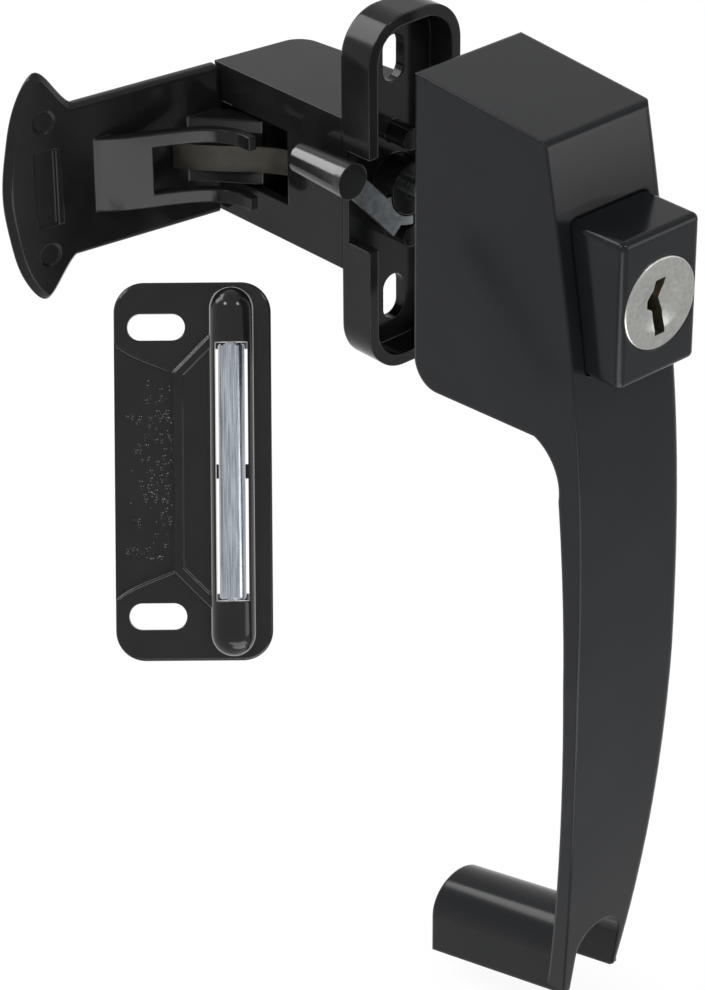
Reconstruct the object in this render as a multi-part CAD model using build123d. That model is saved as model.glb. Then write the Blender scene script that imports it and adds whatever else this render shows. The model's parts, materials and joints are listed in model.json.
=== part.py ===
import os
from math import atan2, cos, degrees, hypot, pi, radians, sin, tan

from build123d import *

# Storm door latch: an outside handle with a keyed push button, the inside latch, and the strike for the jamb.
# X runs right seen from outside, Y inward, Z up. The origin is on the button's axis at the door's outer face.

# Shared sizes
beyond = 200.0
screw_spacing = 44.45
door_gap = 12.7
running_gap = 0.05
slide_gap = 0.15
pin_fit = 0.01
button_travel = 3.0
lever_swing = 18.0

# Outside handle
housing_width = 23.8
housing_top = 29.0
housing_front_top = 26.5
housing_bottom = -27.5
housing_depth_top = 29.7
housing_wall = 2.0
front_wall_y = -29.0
pocket_high = 17.0
pocket_low = -24.0
back_corner = 5.0
grip_bottom = -140.0
foot_half_width = 7.0
foot_wall = 1.6
foot_slope = 15.0
foot_drop = 1.5
foot_reach = 33.5
foot_leg = 7.6
edge_round = 1.4
post_radius = 4.0
post_cover = 0.8
post_tip_radius = 3.0
screw_hole_radius = 1.75
screw_hole_depth = 16.0

# Push button and lock
button_width = 17.6
button_height = 26.0
button_front = -44.1
button_back = -19.0
button_round = 1.2
barrel_radius = 7.6
flange_thick = 1.9
flange_gap = 0.2
flange_height = 29.0
plug_head_radius = 8.0
plug_head_thick = 1.3
plug_proud = 0.2
plug_radius = 6.0
plug_back = -17.0
tail_radius = 3.0
tail_end = -13.5
keyway_width = 2.2
keyway_top = 4.3
keyway_low = -5.5
ward_out = 1.3
ward_in = 0.8
keyway_depth = 17.0
wafer_count = 5
wafer_pitch = 2.6
wafer_thick = 0.6
wafer_width = 5.0
wafer_half = 5.2
wafer_window = 8.4
clip_thick = 0.8
clip_gap = 3.0
groove_depth = 0.9
cam_thick = 1.4
cam_arm = 7.8
cam_width = 5.0

# Rod, bridge and spring
rod_radius = 1.7
rod_head_radius = 3.0
rod_head_thick = 1.2
bridge_y = -11.2
bridge_thick = 1.2
bridge_height = 8.0
bridge_leg = 1.1
plate_thick = 1.2
plate_seat = -1.7
spring_radius = 4.0
spring_wire = 0.9
spring_turns = 5

# Inside latch case
case_width = 20.7
plate_height = 65.0
plate_corner = 8.0
rim_depth = 7.3
rim_wall = 2.0
web_thick = 2.0
slot_width = 4.8
slot_length = 8.5
notch_low = -8.6
notch_high = 8.4
case_length = 32.0
case_half_height = 14.0
case_wall = 1.8
case_nose_x = 7.4
case_nose_round = 4.5
window_y = 33.3
window_half = 6.9
guide_radius = 4.75
guide_post_z = 9.0
guide_post_radius = 2.0

# Lever, bolt and leaf spring
hinge_inset = 3.35
hinge_y = 43.5
hinge_radius = 3.0
hinge_pin_radius = 1.0
hinge_pin_cover = 0.7
lever_face = 50.0
lever_lean = 8.0
lever_thick = 2.6
lever_end = -40.0
lever_clear = 1.2
hub_half = 6.0
tail_face = 2.2
tail_end_x = 1.3
rod_play = 1.0
paddle_reach = 13.6
paddle_half = 21.0
paddle_root = 0.5
paddle_bevel = 1.1
pad_left = 8.0
pad_right = 4.1
pad_half = 7.0
pad_sink = 0.35
pad_rib = 1.2
mark_x = 5.8
mark_z = 12.3
mark_radius = 2.0
mark_sink = 0.25
prong_low = 4.4
prong_high = 6.8
fork_root_x = -27.7
drive_reach = 6.5
drive_radius = 1.1
drive_play = 0.3
bolt_low = 7.2
bolt_thick = 3.0
bolt_out = 4.2
bolt_y = 34.0
bolt_width = 7.4
bolt_drop = 6.0
bolt_gap = 0.4
bolt_web = 0.9
leaf_thick = 0.5
leaf_half = 2.4
leaf_reach = 10.65
leaf_root = 25.0

# Night lock
slide_front = 13.1
slide_thick = 1.2
slide_ring = 6.6
slide_arm = 4.0
slide_end = 2.2
knob_out = 3.65
knob_z = 5.8
knob_radius = 3.2
knob_far_radius = 2.6
knob_length = 12.2
knob_skin = 0.3

# Strike
strike_width = 26.1
strike_height = 62.8
strike_thick = 2.4
strike_corner = 5.0
strike_turn = -42.0
strike_tilt = -30.0
strike_place = (-49.1, 13.9, -36.2)
strike_slot_x = -6.0
strike_slot_z = 24.0
strike_slot_length = 9.6
strike_slot_width = 4.4
roller_x = 6.5
roller_radius = 2.2
roller_half = 21.1
roller_side_gap = 0.5
roller_end_gap = 0.3
roller_out = 1.5
roller_cover = 0.8
roller_pin_radius = 0.9
roller_pin_seat = 4.0
ridge_radius = 3.65
ridge_margin = 0.8
bridge_half = 1.2
bridge_depth = 1.0
panel_out = 0.8
panel_rim = 1.7
panel_sink = 0.3
panel_left = -3.2
field_sink = 0.5
wall_slope = 40.0

plate_back = door_gap + rim_depth
case_end = plate_back + case_length
tail_contact = hinge_y - tail_face - rod_play
hinge_x = -case_width / 2 + hinge_inset
drive_x = hinge_x + drive_reach
knob_x = -case_width / 2 - knob_out


def block(x0, x1, y0, y1, z0, z1):
    return Pos((x0 + x1) / 2, (y0 + y1) / 2, (z0 + z1) / 2) * Box(x1 - x0, y1 - y0, z1 - z0)


def centred(width, y0, y1, height, x=0.0, z=0.0):
    return Pos(x, (y0 + y1) / 2, z) * Box(width, y1 - y0, height)


def rod_y(radius, y0, y1, x=0.0, z=0.0):
    return Pos(x, (y0 + y1) / 2, z) * Rot(90, 0, 0) * Cylinder(radius, y1 - y0)


def rod_z(radius, z0, z1, x=0.0, y=0.0):
    return Pos(x, y, (z0 + z1) / 2) * Cylinder(radius, z1 - z0)


def front_prism(sketch, y0, y1):
    return extrude(Plane.XZ.offset(-y0) * sketch, amount=-(y1 - y0))


def plan_prism(sketch, z0, z1):
    return extrude(Plane.XY.offset(z0) * sketch, amount=z1 - z0)


def write(name, shape):
    export_step(shape, os.path.join("parts", name + ".step"))


def closed_face(*lines):
    return make_face(Curve() + list(lines))


# Handle casting: side profile cut by the front outline, then hollowed from the door side
front_points = [
    (-housing_depth_top, housing_front_top),
    (-34.9, 0),
    (-38.6, -27),
    (-40.0, -55),
    (-39.1, -95),
    (-34.0, grip_bottom),
]
back_points = [(-30.0, grip_bottom), (-34.6, -112), (-36.6, -80), (-36.0, -55), (-34.4, -36)]
throat_points = [(-32.7, -29.4), (-28.5, -26.2)]
round_low = housing_bottom + back_corner
round_mid = back_corner * (1 - cos(pi / 4))
side_face = closed_face(
    Line((0, housing_top), (-housing_depth_top, housing_front_top)),
    Spline(*front_points),
    Line(front_points[-1], back_points[0]),
    Spline(*back_points),
    ThreePointArc(back_points[-1], *throat_points),
    Line(throat_points[-1], (-back_corner, housing_bottom)),
    ThreePointArc((-back_corner, housing_bottom), (-round_mid, housing_bottom + round_mid), (0, round_low)),
    Line((0, round_low), (0, housing_top)),
)
half = housing_width / 2
side_points = [(half, -72), (half - 0.9, -95), (half - 2.2, -114), (foot_half_width, grip_bottom)]
outline_face = closed_face(
    Line((-half, housing_top + 1), (half, housing_top + 1)),
    Line((half, housing_top + 1), side_points[0]),
    Spline(*side_points),
    Line(side_points[-1], (-foot_half_width, grip_bottom)),
    Spline(*[(-x, z) for x, z in reversed(side_points)]),
    Line((-half, side_points[0][1]), (-half, housing_top + 1)),
)
casting = extrude(Plane.YZ * side_face, amount=half + 1, both=True) & front_prism(outline_face, -beyond, 1)
front_face = casting.faces().sort_by(Axis.Y)[0]
casting = fillet(front_face.edges().sort_by(Axis.Z)[1:], edge_round)

# Stand-off foot: an arched channel from the grip to the door
def arch(radius, bottom):
    return closed_face(
        ThreePointArc((-radius, 0), (0, radius), (radius, 0)),
        Line((radius, 0), (radius, bottom)),
        Line((radius, bottom), (-radius, bottom)),
        Line((-radius, bottom), (-radius, 0)),
    )


foot_tilt = radians(foot_slope)
foot_start = (0, 0, grip_bottom - foot_drop)
foot_plane = Plane(foot_start, x_dir=(1, 0, 0), z_dir=(0, -cos(foot_tilt), sin(foot_tilt)))
foot = extrude(foot_plane * arch(foot_half_width, -foot_leg), amount=beyond, both=True)
foot = foot & block(-beyond, beyond, -foot_reach, 0, -beyond, 0)
tunnel = arch(foot_half_width - foot_wall, -foot_leg - foot_wall)
tunnel = extrude(foot_plane * tunnel, amount=beyond, both=True)
casting = casting + foot
casting = casting - tunnel

# Housing pocket, button window and screw posts
inner_half = half - housing_wall
pocket_face = make_face(
    Polyline(
        (0.1, housing_top - housing_wall),
        (-housing_depth_top + housing_wall, housing_front_top - housing_wall),
        (front_wall_y, pocket_high),
        (front_wall_y, pocket_low),
        (0.1, housing_bottom + housing_wall + 0.3),
        close=True,
    )
)
casting = casting - extrude(Plane.YZ * pocket_face, amount=inner_half, both=True)
window_half_x = button_width / 2 + slide_gap
window_half_z = button_height / 2 + slide_gap
window_face = RectangleRounded(2 * window_half_x, 2 * window_half_z, button_round + slide_gap)
casting = casting - front_prism(window_face, -beyond, front_wall_y + 1)
post_room = block(-half, half, -beyond, 1, housing_bottom + housing_wall, housing_front_top - post_cover)
for side in (-1, 1):
    post_z = side * screw_spacing / 2
    post = rod_y(post_radius, front_wall_y, plate_seat, 0, post_z)
    post = post + rod_y(post_tip_radius, plate_seat, 0, 0, post_z)
    casting = casting + (post & post_room)
    casting = casting - rod_y(screw_hole_radius, -screw_hole_depth, 0.1, 0, post_z)
os.makedirs("parts", exist_ok=True)
write("handle_casting", casting)

# Push button: block face, stop flange behind the front wall, barrel round the lock
flange_front = front_wall_y + 0.1
flange_back = flange_front + flange_thick
flange_width = 2 * (inner_half - flange_gap)
button = centred(button_width, button_front, flange_back, button_height)
button = fillet(button.edges().group_by(Axis.Y)[0] + button.edges().filter_by(Axis.Y), button_round)
button = button + centred(flange_width, flange_front, flange_back, flange_height)
button = button + rod_y(barrel_radius, flange_back, button_back)
head_seat = button_front - plug_proud + plug_head_thick
button = button - rod_y(plug_head_radius + running_gap, button_front - 1, head_seat + running_gap)
button = button - rod_y(plug_radius + running_gap, button_front, button_back + 1)
write("push_button", button)

# Lock plug with its keyway, wafer slots, clip groove and tail
plug = rod_y(plug_head_radius, button_front - plug_proud, head_seat)
plug = fillet(plug.edges().group_by(Axis.Y)[0], 0.3)
plug = plug + rod_y(plug_radius, head_seat, plug_back) + rod_y(tail_radius, plug_back, tail_end)
key_half = keyway_width / 2
keyway_face = make_face(
    Polyline(
        (-key_half, keyway_top),
        (-key_half, 2.4),
        (-key_half - ward_out, 0.9),
        (-key_half - ward_out, -0.5),
        (-key_half, -1.3),
        (-key_half, keyway_low),
        (key_half, keyway_low),
        (key_half, -1.6),
        (key_half - ward_in, 0.7),
        (key_half, 3.0),
        (key_half, keyway_top),
        close=True,
    )
)
plug = plug - front_prism(keyway_face, button_front - 1, button_front + keyway_depth)
groove_start = button_back + running_gap
plug_groove = rod_y(plug_radius + 1, groove_start, groove_start + clip_thick + running_gap)
plug_groove = plug_groove - rod_y(plug_radius - groove_depth, groove_start - 1, groove_start + 2)
plug = plug - plug_groove
wafer_ys = [button_front + 3.5 + i * wafer_pitch for i in range(wafer_count)]
wafers = []
for y in wafer_ys:
    y_end = y + wafer_thick
    plug = plug - centred(wafer_width + 2 * running_gap, y - running_gap, y_end + running_gap, 2 * wafer_half)
    wafer = centred(wafer_width, y, y_end, 2 * (wafer_half - running_gap))
    wafers.append(wafer - centred(keyway_width + 0.2, y - 1, y_end + 1, wafer_window))
write("lock_plug", plug)
write("lock_wafers", Compound(children=[w.solid() for w in wafers]))

# Clip behind the button and the cam on the plug's tail
clip = rod_y(plug_radius + 1.2, groove_start, groove_start + clip_thick)
clip = clip - rod_y(plug_radius - groove_depth + 0.03, groove_start - 1, groove_start + 2)
clip = clip - block(-clip_gap, clip_gap, groove_start - 1, groove_start + 2, 0, beyond)
write("plug_clip", clip)
cam_front = plug_back + running_gap
cam = rod_y(cam_width, cam_front, cam_front + cam_thick)
cam = cam + block(-cam_width / 2, cam_width / 2, cam_front, cam_front + cam_thick, 0, cam_arm)
cam = cam - rod_y(tail_radius + 0.02, cam_front - 1, cam_front + 3)
write("lock_cam", cam)

# Bridge that carries the rod behind the cam
leg_out = flange_width / 2
bridge_end = bridge_y + bridge_thick
bridge = block(-leg_out, leg_out, flange_back, bridge_end, -bridge_height / 2, bridge_height / 2)
leg_in = leg_out - bridge_leg
bridge = bridge - block(-leg_in, leg_in, flange_back - 1, bridge_y, -beyond, beyond)
bridge = bridge - rod_y(rod_radius + running_gap, bridge_y - 1, bridge_end + 1)
write("rod_bridge", bridge)
rod = rod_y(rod_head_radius, bridge_y - rod_head_thick, bridge_y)
rod = rod + rod_y(rod_radius, bridge_y, tail_contact - rod_radius)
rod = rod + Pos(0, tail_contact - rod_radius, 0) * Sphere(rod_radius)
write("push_rod", rod)

# Spring between the bridge and the plate that closes the housing
coil_start = bridge_end + spring_wire / 2 + 0.05
coil_length = plate_seat - 0.05 - spring_wire / 2 - coil_start
coil_path = Helix(coil_length / spring_turns, coil_length, spring_radius)
coil = sweep(Plane(coil_path @ 0, z_dir=coil_path % 0) * Circle(spring_wire / 2), path=coil_path)
write("button_spring", Pos(0, coil_start, 0) * Rot(-90, 0, 0) * coil)
plate_half_z = -housing_bottom - housing_wall - 0.6
spring_plate = centred(2 * inner_half - 0.4, plate_seat, plate_seat + plate_thick, 2 * plate_half_z)
spring_plate = spring_plate - rod_y(rod_radius + running_gap, plate_seat - 1, 1)
for side in (-1, 1):
    post_z = side * screw_spacing / 2
    spring_plate = spring_plate - rod_y(post_tip_radius + running_gap, plate_seat - 1, 1, 0, post_z)
write("spring_plate", spring_plate)

# Inside latch case: mounting plate with a rim, and a box that runs inward
case_half = case_width / 2


def plate_outline(inset):
    return RectangleRounded(case_width - 2 * inset, plate_height - 2 * inset, plate_corner - inset)


def box_plan(inset, start):
    lean = (case_half - case_nose_x) / case_length
    drop = tan(radians(lever_lean)) * (case_nose_x + case_half)
    corners = [
        (-case_half + inset, start),
        (-case_half + inset, case_end - inset),
        (case_nose_x - inset + lean * inset, case_end - inset - drop),
        (case_half - inset - lean * (start - plate_back), start),
    ]
    plan = make_face(Polyline(*corners, close=True))
    nose = plan.vertices().sort_by(lambda v: v.X + v.Y)[-1]
    return fillet(nose, case_nose_round - inset)


case = front_prism(plate_outline(0), door_gap, plate_back)
case = fillet(case.edges().group_by(Axis.Y)[-1], 0.8)
case = case + plan_prism(box_plan(0, plate_back - 0.5), -case_half_height, case_half_height)
case = case - front_prism(plate_outline(rim_wall), door_gap - 1, plate_back - web_thick)
ceiling = case_half_height - case_wall
case = case - plan_prism(box_plan(case_wall, plate_back), -ceiling, ceiling)
web_front = plate_back - web_thick
for side in (-1, 1):
    slot = SlotOverall(slot_length, slot_width, rotation=90)
    case = case - front_prism(Pos(0, side * screw_spacing / 2) * slot, door_gap, plate_back + 1)
    case = case + rod_y(guide_post_radius, slide_front, web_front, 0, side * guide_post_z)
case = case + rod_y(guide_radius, door_gap + 0.2, web_front)
case = case - rod_y(rod_radius + running_gap, door_gap - 1, plate_back + 1)
outside = -case_half - 1
case = case - block(outside, -case_half + rim_wall + 0.1, door_gap - 1, web_front, notch_low, notch_high)
window_end = case_end - case_wall
case = case - block(outside, -case_half + case_wall + 0.1, window_y, window_end, -window_half, window_half)
bolt_high = bolt_low + bolt_thick
bolt_near = bolt_y - bolt_width / 2
bolt_far = bolt_y + bolt_width / 2
bolt_hole_y = (bolt_near - bolt_gap, bolt_far + bolt_gap)
case = case - block(case_half / 2, beyond, *bolt_hole_y, -bolt_drop - bolt_gap, bolt_high + bolt_gap)
pin_half = case_half_height - hinge_pin_cover
case = case - rod_z(hinge_pin_radius + pin_fit, -pin_half, pin_half, hinge_x, hinge_y)
write("latch_case", case)
write("lever_pin", rod_z(hinge_pin_radius, -pin_half, pin_half, hinge_x, hinge_y))

# Lever: flat arm, paddle, fork and the hub inside the case
arm_right = -case_half - lever_clear
paddle_back = lever_face + lever_thick
lever = block(lever_end - 2, arm_right, lever_face, paddle_back, -case_half_height, case_half_height)
lever = fillet(lever.edges().filter_by(Axis.X), 1.0)
paddle_shares = [(0.25, 0.867), (0.47, 1.0), (0.706, 0.848), (0.919, 0.429), (1.0, 0.0)]
paddle_edge = [(lever_end + paddle_root, case_half_height)]
paddle_edge = paddle_edge + [(lever_end - out * paddle_reach, up * paddle_half) for out, up in paddle_shares]
paddle_face = closed_face(
    Line((lever_end + paddle_root, -case_half_height), paddle_edge[0]),
    Spline(*(paddle_edge + [(x, -z) for x, z in reversed(paddle_edge[:-1])])),
)
paddle = front_prism(paddle_face, lever_face, paddle_back)
paddle_faces = paddle.faces().sort_by(Axis.Y)
paddle = chamfer(paddle_faces[0].edges() + paddle_faces[-1].edges(), paddle_bevel)
pad_x = lever_end - (pad_left + pad_right) / 2
paddle = paddle - centred(pad_left - pad_right, lever_face - 1, lever_face + pad_sink, 2 * pad_half, pad_x)
rib_x = lever_end - pad_right + pad_rib / 2
paddle = paddle + centred(pad_rib, lever_face - pad_sink, lever_face + 1, 2 * pad_half, rib_x)
for side in (-1, 1):
    mark = rod_y(mark_radius, lever_face - 1, lever_face + mark_sink, lever_end - mark_x, side * mark_z)
    paddle = paddle - mark
lever = lever + paddle
lever_turn = Pos(arm_right, lever_face) * Rot(0, 0, -lever_lean) * Pos(-arm_right, -lever_face)
lever = lever_turn * lever


def behind_lever(x, back):
    return (x, lever_face + tan(radians(lever_lean)) * (arm_right - x) - back)


prong_outer_backs = [(-36.6, -0.4), (-30.0, 3.4), (-24.5, 5.4), (-18.6, 9.0), (-16.8, 15.0)]
prong_inner_backs = [(-15.4, 15.0), (-17.1, 8.2), (-23.8, 3.8), (-29.3, 1.8), (-33.5, -0.4)]
prong_outer = [behind_lever(x, back) for x, back in prong_outer_backs]
prong_inner = [behind_lever(x, back) for x, back in prong_inner_backs]
prong_face = closed_face(
    Spline(*prong_outer),
    Line(prong_outer[-1], prong_inner[0]),
    Spline(*prong_inner),
    Line(prong_inner[-1], prong_outer[0]),
)
lever = lever + plan_prism(prong_face, prong_low, prong_high)
lever = lever + plan_prism(prong_face, -prong_high, -prong_low)
fork_root = plan_prism(prong_face, -prong_high, prong_high)
lever = lever + (fork_root & block(-beyond, fork_root_x, 0, beyond, -prong_high, prong_high))
arm_plan = make_face(
    Polyline(
        behind_lever(-18, -0.3),
        behind_lever(-18, -1.5),
        (arm_right, lever_face + 1.0),
        (hinge_x - 2.4, hinge_y + 3.0),
        (tail_end_x, hinge_y + 1.5),
        (tail_end_x, hinge_y - tail_face),
        (hinge_x - 2.5, hinge_y - 2.7),
        close=True,
    )
)
lever = lever + plan_prism(arm_plan, -hub_half, hub_half)
lever = lever + rod_z(hinge_radius, -hub_half, hub_half, hinge_x, hinge_y)
lever = lever + rod_z(drive_radius, 0, bolt_high - 0.1, drive_x, hinge_y)
lever = lever - rod_z(hinge_pin_radius + running_gap, -beyond, beyond, hinge_x, hinge_y)
write("latch_lever", lever)

# Bolt: a plate over the lever's drive pin with a slanted slot, and a nose through the case's side
swing = radians(lever_swing)
slot_run_x = button_travel - drive_reach * (1 - cos(swing))
slot_run_y = drive_reach * sin(swing)
slot_end = (drive_x + slot_run_x, hinge_y + slot_run_y)
nose_x = case_half + bolt_out
nose_inner = rod_radius + button_travel + 0.5
slot_half = drive_radius + drive_play
bolt_left = drive_x - slot_half - bolt_web
bolt_right = slot_end[0] + slot_half + bolt_web
bolt_top = slot_end[1] + slot_half + bolt_web
bolt_mid = drive_x + 2.0
bolt_plan = make_face(
    Polyline(
        (bolt_left, hinge_y - 3.5),
        (bolt_left, hinge_y + 2.0),
        (drive_x + bolt_web, bolt_top),
        (bolt_right, bolt_top),
        (bolt_right, bolt_near),
        (bolt_mid, bolt_near),
        (bolt_mid, bolt_far),
        close=True,
    )
)
bolt = plan_prism(bolt_plan, bolt_low, bolt_high)
nose_plan = make_face(
    Polyline(
        (nose_inner, bolt_near),
        (nose_x, bolt_near),
        (nose_x, bolt_near + 2.0),
        (nose_x - bolt_out, bolt_far),
        (nose_inner, bolt_far),
        close=True,
    )
)
bolt = bolt + plan_prism(nose_plan, -bolt_drop, bolt_high)
bolt = bolt + block(bolt_mid, nose_inner + 1, bolt_near, bolt_far, bolt_low, bolt_high)
slot_turn = degrees(atan2(slot_run_y, slot_run_x))
slot_face = SlotCenterToCenter(hypot(slot_run_x, slot_run_y), 2 * slot_half)
slot_middle = Pos(drive_x + slot_run_x / 2, hinge_y + slot_run_y / 2)
bolt = bolt - plan_prism(slot_middle * Rot(0, 0, slot_turn) * slot_face, bolt_low - 1, bolt_high + 1)
write("latch_bolt", bolt)

# Leaf spring from the case's side wall to the lever
leaf_x = -case_half + case_wall + leaf_thick / 2 + 0.05
leaf_tip = behind_lever(-case_half - leaf_reach, 0.45)
leaf_bend = (-case_half - 0.25, window_y + 4.7)
leaf_middle = (-case_half - leaf_reach / 2, window_y + 10.5)
leaf_points = [(leaf_x, leaf_root), (leaf_x, window_y + 0.4), leaf_bend, leaf_middle, leaf_tip]
leaf = trace(Spline(*leaf_points), leaf_thick)
write("lever_spring", plan_prism(leaf, -leaf_half, leaf_half))

# Night lock: a saddle on the rod guide, with an arm out through the rim's notch into the moulded knob
slide_back = slide_front + slide_thick
saddle = Circle(slide_ring) & Pos(-slide_ring / 2, -slide_ring / 2) * Rectangle(slide_ring, slide_ring)
arm_start = (-3.0, -6.2)
arm_length = hypot(arm_start[0] - knob_x, arm_start[1] - knob_z)
arm_angle = degrees(atan2(arm_start[1] - knob_z, arm_start[0] - knob_x))
arm_mid = ((arm_start[0] + knob_x) / 2, (arm_start[1] + knob_z) / 2)


def slide_reach(extra):
    arm = Pos(*arm_mid) * Rot(0, 0, arm_angle) * Rectangle(arm_length, slide_arm + 2 * extra)
    return arm + Pos(knob_x, knob_z) * Circle(slide_end + extra)


slide_face = saddle + slide_reach(0) - Circle(guide_radius + 2 * slide_gap)
write("lock_slide", front_prism(slide_face, slide_front, slide_back))
knob_place = Pos(knob_x, slide_back + knob_length / 2, knob_z) * Rot(-90, 0, 0)
knob = knob_place * Cone(knob_radius, knob_far_radius, knob_length)
knob = fillet(knob.edges().group_by(Axis.Y)[-1], 1.0)
knob = knob + rod_y(knob_radius, slide_front - knob_skin, slide_back, knob_x, knob_z)
knob = knob - front_prism(slide_reach(pin_fit), slide_front, slide_back)
write("lock_knob", knob)

# Strike: plate with a raised panel, end domes and a roller on its own pin
strike = front_prism(RectangleRounded(strike_width, strike_height, strike_corner), 0, strike_thick)
strike = fillet(strike.edges().group_by(Axis.Y)[0], 0.6)
panel_high = strike_slot_z - 7.4
panel_right = roller_x - 1.0


def panel_face(inset):
    left = panel_left + inset
    high = panel_high - inset * tan(pi / 8)
    end = high + panel_right - left
    corners = [(panel_right, end), (left, high), (left, -high), (panel_right, -end)]
    return make_face(Polyline(*corners, close=True))


def sunk(sketch, floor, rise):
    return extrude(Plane.XZ.offset(-floor) * sketch, amount=rise, taper=-wall_slope)


panel = front_prism(panel_face(0), -panel_out, 2 * field_sink)
panel = fillet(panel.edges().group_by(Axis.Y)[0], panel_out / 2)
panel = panel - sunk(panel_face(panel_rim), panel_sink - panel_out, panel_sink + 1)
edge_x = -strike_width / 2
field_curve = [
    (panel_left, panel_high),
    (panel_left - 2.3, panel_high + 0.9),
    (panel_left - 5.3, panel_high + 2.0),
    (panel_left - 8.2, panel_high + 3.6),
    (edge_x, strike_slot_z - 2.6),
]
field_face = closed_face(
    Spline(*field_curve),
    Line(field_curve[-1], (edge_x - 1, field_curve[-1][1])),
    Line((edge_x - 1, field_curve[-1][1]), (edge_x - 1, -field_curve[-1][1])),
    Line((edge_x - 1, -field_curve[-1][1]), (edge_x, -field_curve[-1][1])),
    Spline(*[(x, -z) for x, z in reversed(field_curve)]),
    Line((panel_left, -panel_high), (panel_left, panel_high)),
)
dome_z = strike_height / 2 - ridge_margin - ridge_radius
ridge = rod_z(ridge_radius, -dome_z, dome_z, roller_x, 0)
for side in (-1, 1):
    ridge = ridge + Pos(roller_x, 0, side * dome_z) * Sphere(ridge_radius)
ridge = ridge & block(-beyond, beyond, -beyond, 3 * field_sink, -beyond, beyond)
strike = strike + ridge
strike = strike - front_prism(field_face, -1, field_sink)
strike = strike + panel
gap_half = roller_radius + roller_side_gap
roller_room = roller_half + roller_end_gap
strike = strike - centred(2 * gap_half, -beyond, -roller_out, 2 * roller_room, roller_x)
strike = strike - rod_z(gap_half, -roller_room, roller_room, roller_x, -roller_out)
strike = strike - centred(2 * gap_half, -roller_out, beyond, 2 * (roller_half - roller_cover), roller_x)
cross_front = strike_thick - bridge_depth
strike = strike + centred(2 * gap_half + 1, cross_front, strike_thick, 2 * bridge_half, roller_x)
for side in (-1, 1):
    slot = SlotOverall(strike_slot_length, strike_slot_width)
    strike = strike - front_prism(Pos(strike_slot_x, side * strike_slot_z) * slot, -5, 5)
pin_end = roller_half + roller_pin_seat
strike = strike - rod_z(roller_pin_radius + pin_fit, -pin_end, pin_end, roller_x, -roller_out)
roller = rod_z(roller_radius, -roller_half, roller_half, roller_x, -roller_out)
roller = chamfer(roller.edges(), 0.3)
roller = roller - rod_z(roller_pin_radius + running_gap, -beyond, beyond, roller_x, -roller_out)
roller_pin = rod_z(roller_pin_radius, -pin_end + 0.1, pin_end - 0.1, roller_x, -roller_out)
strike_pose = Pos(*strike_place) * Rot(0, 0, strike_turn) * Rot(strike_tilt, 0, 0)
write("strike_plate", strike_pose * strike)
write("strike_roller", strike_pose * roller)
write("roller_pin", strike_pose * roller_pin)
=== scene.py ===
import json
import math
import bpy
from mathutils import Matrix, Vector, noise


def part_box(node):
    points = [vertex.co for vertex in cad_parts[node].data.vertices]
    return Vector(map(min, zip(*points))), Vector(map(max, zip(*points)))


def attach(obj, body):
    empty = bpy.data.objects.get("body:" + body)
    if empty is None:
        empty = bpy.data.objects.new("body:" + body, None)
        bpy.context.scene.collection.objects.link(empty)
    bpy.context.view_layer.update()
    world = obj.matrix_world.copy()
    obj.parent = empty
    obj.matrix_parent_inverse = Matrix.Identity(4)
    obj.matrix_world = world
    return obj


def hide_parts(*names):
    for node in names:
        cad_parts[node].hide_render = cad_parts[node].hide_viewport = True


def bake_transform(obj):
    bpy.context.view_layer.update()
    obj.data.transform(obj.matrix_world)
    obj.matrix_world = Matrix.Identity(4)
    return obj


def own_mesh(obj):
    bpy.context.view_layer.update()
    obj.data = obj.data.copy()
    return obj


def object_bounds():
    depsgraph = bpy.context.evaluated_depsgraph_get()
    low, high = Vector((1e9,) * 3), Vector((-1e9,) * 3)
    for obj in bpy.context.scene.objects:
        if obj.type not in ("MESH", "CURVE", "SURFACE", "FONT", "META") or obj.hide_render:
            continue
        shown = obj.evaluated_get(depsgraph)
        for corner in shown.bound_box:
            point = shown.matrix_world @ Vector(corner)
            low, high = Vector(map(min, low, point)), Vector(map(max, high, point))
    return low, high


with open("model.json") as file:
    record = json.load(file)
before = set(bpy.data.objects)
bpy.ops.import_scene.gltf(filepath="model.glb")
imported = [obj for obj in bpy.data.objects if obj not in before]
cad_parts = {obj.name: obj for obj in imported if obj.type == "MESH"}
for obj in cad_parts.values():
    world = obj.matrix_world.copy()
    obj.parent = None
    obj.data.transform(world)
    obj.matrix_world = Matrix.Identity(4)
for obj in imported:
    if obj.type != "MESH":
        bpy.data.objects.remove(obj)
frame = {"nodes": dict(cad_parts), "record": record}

cadLow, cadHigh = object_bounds()
scene = bpy.context.scene
scene.view_settings.view_transform = 'Standard'
nodes = frame["nodes"]
record = frame["record"]
mm = 0.001
white = (1, 1, 1, 1)


# helpers

def deselectAll():
    if bpy.context.mode != 'OBJECT':
        bpy.ops.object.mode_set(mode='OBJECT')
    bpy.ops.object.select_all(action='DESELECT')


def pickOnly(piece):  # selected and active, alone
    deselectAll()
    piece.select_set(True)
    bpy.context.view_layer.objects.active = piece


def hexColor(code):  # sRGB hex to linear RGBA
    out = []
    for i in (0, 2, 4):
        v = int(code[i:i + 2], 16) / 255
        out.append(v / 12.92 if v <= 0.04045 else ((v + 0.055) / 1.055) ** 2.4)
    return (out[0], out[1], out[2], 1.0)


def addNode(tree, kind, settings=None, links=None):  # links: input name to output socket
    node = tree.nodes.new(kind)
    for key, value in (settings or {}).items():  # an input's value, or else an attribute
        if key in node.inputs:
            node.inputs[key].default_value = value
        else:
            setattr(node, key, value)
    for key, socket in (links or {}).items():
        tree.links.new(socket, node.inputs[key])
    return node


def newMaterial(name):
    mat = bpy.data.materials.new(name)
    mat.use_nodes = True
    mat.node_tree.nodes.clear()
    return mat, mat.node_tree


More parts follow.
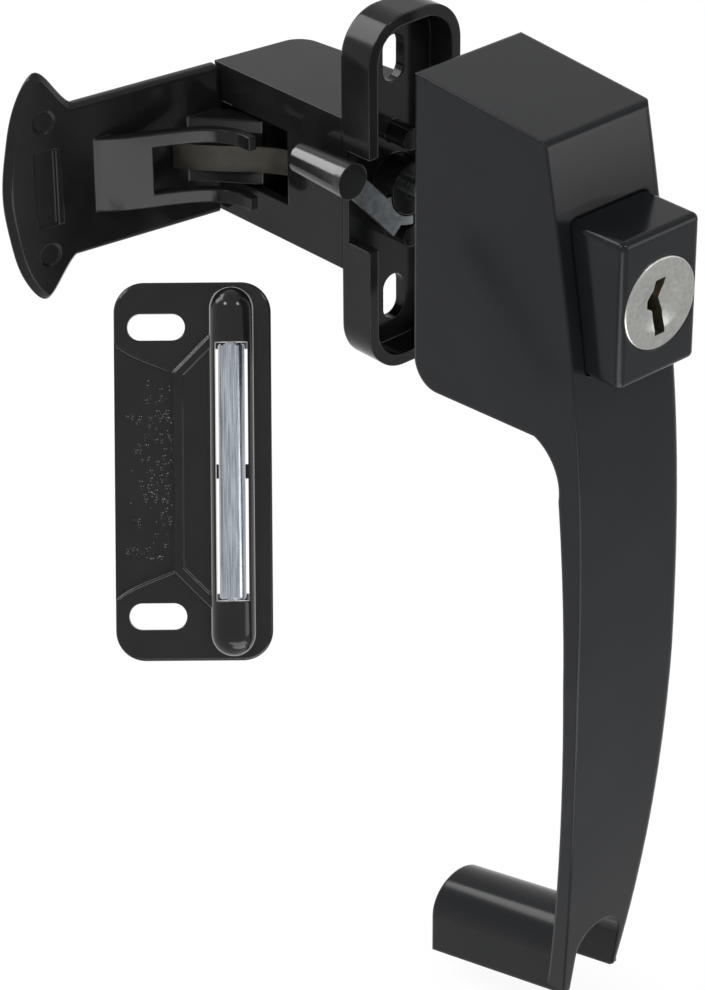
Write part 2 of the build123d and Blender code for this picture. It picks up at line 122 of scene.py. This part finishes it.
def addNoise(tree, sizeMm, detail, place):  # one feature every sizeMm
    return addNode(tree, 'ShaderNodeTexNoise', {'Scale': 1.0 / (sizeMm * mm), 'Detail': detail},
                   {'Vector': place}).outputs['Fac']


def addRamp(tree, look, pattern):  # from the look's dark to its light colour
    ramp = addNode(tree, 'ShaderNodeValToRGB', {}, {'Fac': pattern})
    colors = (look['dark'], look['light'])
    for element, position, code in zip(ramp.color_ramp.elements, look['stops'], colors):
        element.position = position
        element.color = hexColor(code)
    return ramp.outputs['Color']


def addSurface(tree, look, pattern, bumpLinks, settings):  # pattern: drives colour and roughness
    rough = addNode(tree, 'ShaderNodeMapRange',
                    {'To Min': look['roughLow'], 'To Max': look['roughHigh']}, {'Value': pattern})
    bump = addNode(tree, 'ShaderNodeBump',
                   {'Strength': look['bump'], 'Distance': look['bumpMm'] * mm}, bumpLinks)
    shader = addNode(tree, 'ShaderNodeBsdfPrincipled', settings,
                     {'Base Color': addRamp(tree, look, pattern),
                      'Roughness': rough.outputs['Result'], 'Normal': bump.outputs['Normal']})
    addNode(tree, 'ShaderNodeOutputMaterial', {}, {'Surface': shader.outputs['BSDF']})


# the strike's own axes, from the record: across, along the roller, out of its face

strikeMount = next(m for m in record["mounts"] if m["name"] == "strike_slots")
rollerJoint = next(j for j in record["behaviour"]["joints"] if j["name"] == "roller_spin")
inward = Vector(strikeMount["axis"]).normalized()
along = Vector(rollerJoint["axis"]).normalized()
across = inward.cross(along)
strikeTurn = Matrix((across, along, -inward)).transposed()
strikePose = Matrix.Translation(Vector(strikeMount["pos_m"])) @ strikeTurn.to_4x4()


# materials

def paintMaterial(name, look):  # sprayed enamel: even black, faint orange peel, clear reflections
    mat, tree = newMaterial(name)
    place = addNode(tree, 'ShaderNodeTexCoord').outputs['Object']
    cloud = addNoise(tree, look['cloudMm'], look['cloudDetail'], place)
    peel = addNoise(tree, look['peelMm'], look['peelDetail'], place)
    soft = addNode(tree, 'ShaderNodeBevel',
                   {'samples': look['edgeSamples'], 'Radius': look['edgeMm'] * mm})
    addSurface(tree, look, cloud, {'Height': peel, 'Normal': soft.outputs['Normal']},
               {'IOR': look['ior'], 'Specular IOR Level': look['shine']})
    return mat


def metalMaterial(name, look):  # plated or drawn: bright, fine lines along the way it was worked
    mat, tree = newMaterial(name)
    place = addNode(tree, 'ShaderNodeTexCoord').outputs['Object']
    stretch = addNode(tree, 'ShaderNodeMapping',
                      {'vector_type': 'TEXTURE', 'Scale': look['stretch'],
                       'Rotation': look['turn']}, {'Vector': place})
    grain = addNoise(tree, look['grainMm'], look['grainDetail'], stretch.outputs['Vector'])
    addSurface(tree, look, grain, {'Height': grain}, {'Metallic': look['metal']})
    return mat


paintBase = {'cloudDetail': 3.0, 'peelDetail': 2.0, 'stops': (0.3, 0.7), 'bumpMm': 0.01,
             'edgeSamples': 8, 'ior': 1.5}
evenMetal = {'grainDetail': 4.0, 'stops': (0.35, 0.65), 'bumpMm': 0.01, 'metal': 1.0,
             'stretch': (1, 1, 1), 'turn': (0, 0, 0)}  # grain the same every way
rollerMetal = {**evenMetal, 'stretch': (0.25, 7, 0.25),
               'turn': strikeTurn.to_euler()[:]}  # grain drawn out along the roller

satinPaint = {**paintBase, 'dark': '121315', 'light': '151618', 'cloudMm': 14, 'peelMm': 0.5,
              'roughLow': 0.13, 'roughHigh': 0.18, 'bump': 0.06, 'edgeMm': 0.7, 'shine': 0.13}
glossPaint = {**paintBase, 'dark': '121312', 'light': '171817', 'cloudMm': 7, 'peelMm': 0.8,
              'roughLow': 0.1, 'roughHigh': 0.16, 'bump': 0.08, 'edgeMm': 0.4, 'shine': 0.14}
strikePaint = {**glossPaint, 'shine': 0.2}
pebblePaint = {**strikePaint, 'edgeMm': 0.02}  # lumps too small for the softened edge
blackPlastic = {**paintBase, 'dark': '141414', 'light': '191919', 'cloudMm': 4, 'peelMm': 0.6,
                'roughLow': 0.14, 'roughHigh': 0.2, 'bump': 0.05, 'edgeMm': 0.3, 'shine': 0.42}
satinNickel = {**evenMetal, 'dark': '8c8d8a', 'light': '989994', 'grainMm': 0.7,
               'roughLow': 0.3, 'roughHigh': 0.36, 'bump': 0.02, 'bumpMm': 0.004}
brightZinc = {**evenMetal, 'dark': '84888b', 'light': '9a9ea1', 'grainMm': 1.6,
              'roughLow': 0.22, 'roughHigh': 0.34, 'bump': 0.06}
drawnSteel = {**rollerMetal, 'dark': '7d848b', 'light': 'a8afb5', 'grainMm': 0.9,
              'roughLow': 0.18, 'roughHigh': 0.32, 'bump': 0.12, 'bumpMm': 0.02}
oliveSteel = {**evenMetal, 'dark': '25231e', 'light': '2f2d26', 'grainMm': 3.0,
              'roughLow': 0.36, 'roughHigh': 0.44, 'bump': 0.03, 'metal': 0.7}
springSteel = {**evenMetal, 'dark': '7b7d80', 'light': '9a9c9e', 'grainMm': 0.8,
               'roughLow': 0.28, 'roughHigh': 0.4, 'bump': 0.05}
rolledBrass = {**evenMetal, 'dark': 'b08d43', 'light': 'cdab5c', 'grainMm': 0.8,
               'roughLow': 0.25, 'roughHigh': 0.38, 'bump': 0.05}

finishes = {
    'satinPaint': paintMaterial('satinBlackEnamel', satinPaint),
    'glossPaint': paintMaterial('glossBlackEnamel', glossPaint),
    'strikePaint': paintMaterial('strikeBlackEnamel', strikePaint),
    'pebblePaint': paintMaterial('pebbledBlackEnamel', pebblePaint),
    'blackPlastic': paintMaterial('blackPlastic', blackPlastic),
    'satinNickel': metalMaterial('satinNickelPlate', satinNickel),
    'brightZinc': metalMaterial('brightZincPlate', brightZinc),
    'drawnSteel': metalMaterial('drawnSteel', drawnSteel),
    'oliveSteel': metalMaterial('oliveChromatedSteel', oliveSteel),
    'springSteel': metalMaterial('springSteel', springSteel),
    'rolledBrass': metalMaterial('rolledBrass', rolledBrass),
}
nodeFinish = {
    'handle_casting': 'satinPaint', 'push_button': 'satinPaint', 'latch_case': 'glossPaint',
    'latch_lever': 'glossPaint', 'strike_plate': 'strikePaint', 'lock_knob': 'blackPlastic',
    'lock_plug': 'satinNickel', 'latch_bolt': 'satinNickel', 'lock_wafers': 'rolledBrass',
    'button_spring': 'springSteel', 'plug_clip': 'springSteel', 'lever_spring': 'oliveSteel',
    'spring_plate': 'brightZinc', 'rod_bridge': 'brightZinc', 'push_rod': 'brightZinc',
    'lock_cam': 'brightZinc', 'lock_slide': 'brightZinc', 'lever_pin': 'brightZinc',
    'roller_pin': 'brightZinc', 'strike_roller': 'drawnSteel',
}
for name, finish in nodeFinish.items():
    nodes[name].data.materials.clear()
    nodes[name].data.materials.append(finishes[finish])
for name in ('strike_plate', 'strike_roller', 'roller_pin'):
    nodes[name].visible_glossy = False  # the strike stands apart and isn't mirrored in the latch
print('materials set')


# pebbled part of the strike's recessed field: cast lumps, thickest beside the raised panel

pebbleLook = {'left': -11.5, 'right': -3.5, 'half': 16.4, 'floor': 0.5, 'sink': 0.02,
              'skirt': 0.2, 'pitch': 0.9, 'rise': 0.5, 'level': 0.5, 'across': 80, 'along': 320,
              'patchMm': 2.0, 'patchShare': 0.9, 'bare': 0.3, 'edge': 0.15}


def placeOnStrike(piece, finish):  # from the strike's axes to the shared frame, in the mesh itself
    piece.matrix_world = strikePose @ piece.matrix_world
    pickOnly(piece)
    bpy.ops.object.transform_apply(location=True, rotation=True, scale=True)
    piece.data.materials.append(finishes[finish])
    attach(piece, 'frame')


def lumpShare(place, look):  # 1 where lumps stand, 0 on bare floor: patchy, and barer to the left
    toRight = (place.x / mm - look['left']) / (look['right'] - look['left'])
    toEnd = 1 - abs(place.y / mm) / look['half']
    patch = look['patchShare'] * noise.noise(place / (look['patchMm'] * mm))
    keep = toRight + patch - look['bare']
    return max(0.0, min(1.0, keep / look['edge'], toEnd / look['edge']))


def addPebbles(look):
    deselectAll()
    bpy.ops.mesh.primitive_grid_add(x_subdivisions=look['across'], y_subdivisions=look['along'],
                                    size=1)
    sheet = bpy.context.object
    sheet.name = 'pebbleField'
    sheet.scale = ((look['right'] - look['left']) * mm, 2 * look['half'] * mm, 1)
    middle = (look['right'] + look['left']) / 2
    sheet.location = (middle * mm, 0, (-look['sink'] - look['floor']) * mm)
    bpy.ops.object.transform_apply(location=True, rotation=True, scale=True)
    share = sheet.vertex_groups.new(name='lumps')
    for vertex in sheet.data.vertices:
        share.add([vertex.index], lumpShare(vertex.co, look), 'REPLACE')
    bpy.ops.object.mode_set(mode='EDIT')
    bpy.ops.mesh.select_mode(type='EDGE')
    bpy.ops.mesh.select_all(action='DESELECT')
    bpy.ops.mesh.select_non_manifold()
    bpy.ops.mesh.extrude_edges_move(TRANSFORM_OT_translate={'value': (0, 0, -look['skirt'] * mm)})
    bpy.ops.mesh.edge_face_add()
    bpy.ops.object.mode_set(mode='OBJECT')
    lumps = bpy.data.textures.new('pebbleLumps', 'VORONOI')
    lumps.noise_scale = look['pitch'] * mm
    push = sheet.modifiers.new('pebbles', 'DISPLACE')
    push.texture = lumps
    push.texture_coords = 'LOCAL'
    push.direction = 'Z'
    push.vertex_group = 'lumps'
    push.strength = -look['rise'] * mm
    push.mid_level = look['level']
    bpy.ops.object.modifier_apply(modifier='pebbles')
    bpy.ops.object.shade_smooth()
    placeOnStrike(sheet, 'pebblePaint')


addPebbles(pebbleLook)


# raised lips along the field's S-shaped ends

lipLook = {'start': (-3.3, 16.6), 'leave': (-6.3, 18.0), 'arrive': (-9.9, 18.9),
           'end': (-12.5, 21.0), 'radius': 0.24, 'sink': 0.06, 'ringSteps': 3, 'lengthSteps': 24}


def addLip(name, look, side):
    deselectAll()
    bpy.ops.curve.primitive_bezier_curve_add()
    lip = bpy.context.object
    lip.name = name
    first, last = lip.data.splines[0].bezier_points
    for point in (first, last):
        point.handle_left_type = 'FREE'
        point.handle_right_type = 'FREE'
    start, leave, arrive, end = (Vector((look[k][0], side * look[k][1], -look['sink'])) * mm
                                 for k in ('start', 'leave', 'arrive', 'end'))
    first.co = start
    first.handle_left = start
    first.handle_right = leave
    last.handle_left = arrive
    last.co = end
    last.handle_right = end
    lip.data.bevel_depth = look['radius'] * mm
    lip.data.bevel_resolution = look['ringSteps']
    lip.data.resolution_u = look['lengthSteps']
    lip.data.use_fill_caps = True
    bpy.ops.object.convert(target='MESH')
    bpy.ops.object.shade_smooth()
    placeOnStrike(bpy.context.object, 'strikePaint')


addLip('upperLip', lipLook, 1)
addLip('lowerLip', lipLook, -1)
print('strike details set')


# lock plug with the shallow dish that is turned into its face around the keyway

dishLook = {'across': 9.6, 'deep': 0.9, 'cuts': 9, 'smooth': 30, 'weldMm': 0.001,
            'frontMm': 0.02, 'facing': -0.99}


def copyNode(name, pieceName):  # the node's shape in a piece of its own, with its finish
    piece = bpy.data.objects.new(pieceName, nodes[name].data.copy())
    scene.collection.objects.link(piece)
    return piece


def addDishedPlug(look):
    plug = copyNode('lock_plug', 'dishedPlug')
    low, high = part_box('lock_plug')
    front = low.y + look['frontMm'] * mm
    pickOnly(plug)
    bpy.ops.mesh.customdata_custom_splitnormals_clear()
    bpy.ops.object.mode_set(mode='EDIT')
    bpy.ops.mesh.select_mode(type='FACE')
    bpy.ops.mesh.select_all(action='SELECT')
    bpy.ops.mesh.remove_doubles(threshold=look['weldMm'] * mm)
    bpy.ops.mesh.select_all(action='DESELECT')
    bpy.ops.object.mode_set(mode='OBJECT')
    for face in plug.data.polygons:  # the flat front, around the keyway
        face.select = face.normal.y < look['facing'] and face.center.y < front
    bpy.ops.object.mode_set(mode='EDIT')
    bpy.ops.mesh.subdivide(number_cuts=look['cuts'])
    bpy.ops.object.mode_set(mode='OBJECT')
    half = look['across'] / 2 * mm
    midX = (low.x + high.x) / 2
    midZ = (low.z + high.z) / 2
    for vertex in plug.data.vertices:
        reach = math.hypot(vertex.co.x - midX, vertex.co.z - midZ) / half
        if vertex.co.y < front and reach < 1:
            vertex.co.y += look['deep'] * mm * (1 - reach ** 2)
    bpy.ops.object.shade_smooth_by_angle(angle=math.radians(look['smooth']))
    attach(plug, 'plug')
    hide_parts('lock_plug')


addDishedPlug(dishLook)
print('plug set')


# springs as pieces of their own: the coil copied onto the frame, the leaf copied where it stands


def addSprings():
    coil = copyNode('button_spring', 'coilSpring')
    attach(coil, 'frame')
    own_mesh(coil)
    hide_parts('button_spring')
    leaf = copyNode('lever_spring', 'leafSpring')
    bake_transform(leaf)
    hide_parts('lever_spring')


addSprings()
print('springs set')


# camera, as the photograph was taken

cameraLook = {'azimuth': -42.06, 'elevation': 30.47, 'roll': 0.425, 'focalPx': 3676.9,
              'offset': (19.04, -46.84, 610.87), 'imageHeight': 990, 'sensor': 24.0,
              'clipStart': 0.01}


def addCamera(look):
    az, el, roll = (math.radians(look[k]) for k in ('azimuth', 'elevation', 'roll'))
    forward = Vector((-math.sin(az) * math.cos(el), math.cos(az) * math.cos(el), -math.sin(el)))
    right = forward.cross(Vector((0, 0, 1))).normalized()
    down = forward.cross(right)
    rightTurned = math.cos(roll) * right + math.sin(roll) * down
    downTurned = -math.sin(roll) * right + math.cos(roll) * down
    aside, below, distance = look['offset']
    place = -(rightTurned * aside + downTurned * below + forward * distance) * mm
    data = bpy.data.cameras.new('photoCamera')
    data.sensor_fit = 'VERTICAL'
    data.sensor_height = look['sensor']
    data.lens = look['focalPx'] / look['imageHeight'] * look['sensor']
    data.clip_start = look['clipStart']
    cam = bpy.data.objects.new('photoCamera', data)
    scene.collection.objects.link(cam)
    turn = Matrix((rightTurned, -downTurned, -forward)).transposed()
    cam.matrix_world = Matrix.Translation(place) @ turn.to_4x4()
    scene.camera = cam


addCamera(cameraLook)
print('camera set')


# floor, backdrop and studio light

stageLook = {'floorDrop': 0.004, 'floorSize': 6.0, 'floorTone': 'f4f4f4', 'whiteShare': 0.9,
             'seenLight': 1.0, 'worldLight': 0.5}


def seenWhite(tree, low, high):  # high for rays that show the background, low for those that light
    path = addNode(tree, 'ShaderNodeLightPath')
    direct = addNode(tree, 'ShaderNodeMath', {'operation': 'MAXIMUM'},
                     {0: path.outputs['Is Camera Ray'], 1: path.outputs['Is Glossy Ray']})
    seen = addNode(tree, 'ShaderNodeMath', {'operation': 'MAXIMUM'},
                   {0: direct.outputs['Value'], 1: path.outputs['Is Transmission Ray']})
    return addNode(tree, 'ShaderNodeMapRange', {'To Min': low, 'To Max': high},
                   {'Value': seen.outputs['Value']}).outputs['Result']


def sweepMaterial(look):  # paper sweep: mostly its own white to the eye, a little shadow left
    mat, tree = newMaterial('whiteSweep')
    paper = addNode(tree, 'ShaderNodeBsdfDiffuse', {'Color': hexColor(look['floorTone'])})
    glow = addNode(tree, 'ShaderNodeEmission', {'Color': white, 'Strength': look['seenLight']})
    mix = addNode(tree, 'ShaderNodeMixShader', {},
                  {0: seenWhite(tree, 0.0, look['whiteShare']), 1: paper.outputs['BSDF'],
                   2: glow.outputs['Emission']})
    addNode(tree, 'ShaderNodeOutputMaterial', {}, {'Surface': mix.outputs['Shader']})
    return mat


def addFloor(look):
    deselectAll()
    bpy.ops.mesh.primitive_plane_add(size=look['floorSize'],
                                     location=(0, 0, cadLow[2] - look['floorDrop']))
    floor = bpy.context.object
    floor.name = 'floor'
    floor.data.materials.append(sweepMaterial(look))


def addWorld(look):
    world = bpy.data.worlds.new('studio')
    scene.world = world
    world.use_nodes = True
    tree = world.node_tree
    tree.nodes.clear()
    sky = addNode(tree, 'ShaderNodeBackground', {'Color': white},
                  {'Strength': seenWhite(tree, look['worldLight'], look['seenLight'])})
    addNode(tree, 'ShaderNodeOutputWorld', {}, {'Surface': sky.outputs['Background']})


addFloor(stageLook)
addWorld(stageLook)

lampAim = (-0.02, 0.02, -0.02)
lamps = [  # metres and watts
    {'name': 'leftKey', 'place': (-0.58, 0.02, 0.62), 'size': (0.17, 0.17), 'power': 2.4},
    {'name': 'rightKey', 'place': (0.10, -0.58, 0.62), 'size': (0.17, 0.17), 'power': 2.4},
    {'name': 'sideSoftbox', 'place': (0.55, -0.72, 0.10), 'size': (0.45, 0.45), 'power': 2.1},
    {'name': 'backSoftbox', 'place': (-0.28, 0.6, 0.45), 'size': (0.48, 0.5), 'power': 6.0},
    {'name': 'lowPanel', 'place': (-0.13, -0.171, -0.13), 'size': (0.28, 0.158), 'power': 0.75,
     'aim': (-0.13, -0.171, 0)},
    {'name': 'edgePanel', 'place': (-0.07, -0.071, -0.13), 'size': (0.1, 0.04), 'power': 0.07,
     'aim': (-0.07, -0.071, 0)},
]


def addLamp(lamp):
    data = bpy.data.lights.new(lamp['name'], 'AREA')
    data.shape = 'RECTANGLE'
    data.size, data.size_y = lamp['size']
    data.energy = lamp['power']
    light = bpy.data.objects.new(lamp['name'], data)
    light.location = lamp['place']
    toward = Vector(lamp.get('aim', lampAim)) - light.location
    light.rotation_euler = toward.to_track_quat('-Z', 'Y').to_euler()
    light.visible_camera = False
    scene.collection.objects.link(light)


for lamp in lamps:
    addLamp(lamp)
print('stage set')
